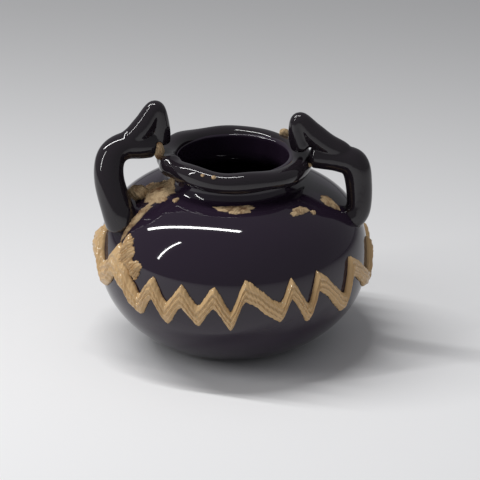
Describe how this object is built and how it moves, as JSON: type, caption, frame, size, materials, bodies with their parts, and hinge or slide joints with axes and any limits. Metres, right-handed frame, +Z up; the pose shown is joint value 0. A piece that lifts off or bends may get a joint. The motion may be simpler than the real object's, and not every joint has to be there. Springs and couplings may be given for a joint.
{
  "type": "two-handled jar",
  "caption": "Squat blown glass jar with a short neck, a thick coiled rim, folded handles with thumb-rests and an opaque zigzag thread round the belly.",
  "frame": {"origin": "centre of the ring that the jar stands on", "axes": "+Z up along the body's axis; -Y is the front that the picture shows; +X to its right"},
  "size_m": [0.068, 0.068, 0.0596],
  "materials": {
    "body_glass": "near-black purple glass, glossy with fine pits",
    "applied_glass": "near-black glass, glossy, drawn by hand",
    "thread_glass": "opaque cream to tan glass, weathered and matt"
  },
  "bodies": {
    "root": {"vessel": "body_glass", "rim_coil": "applied_glass", "handle_left": "applied_glass", "handle_right": "applied_glass", "zigzag_thread": "thread_glass"}
  },
  "joints": []
}
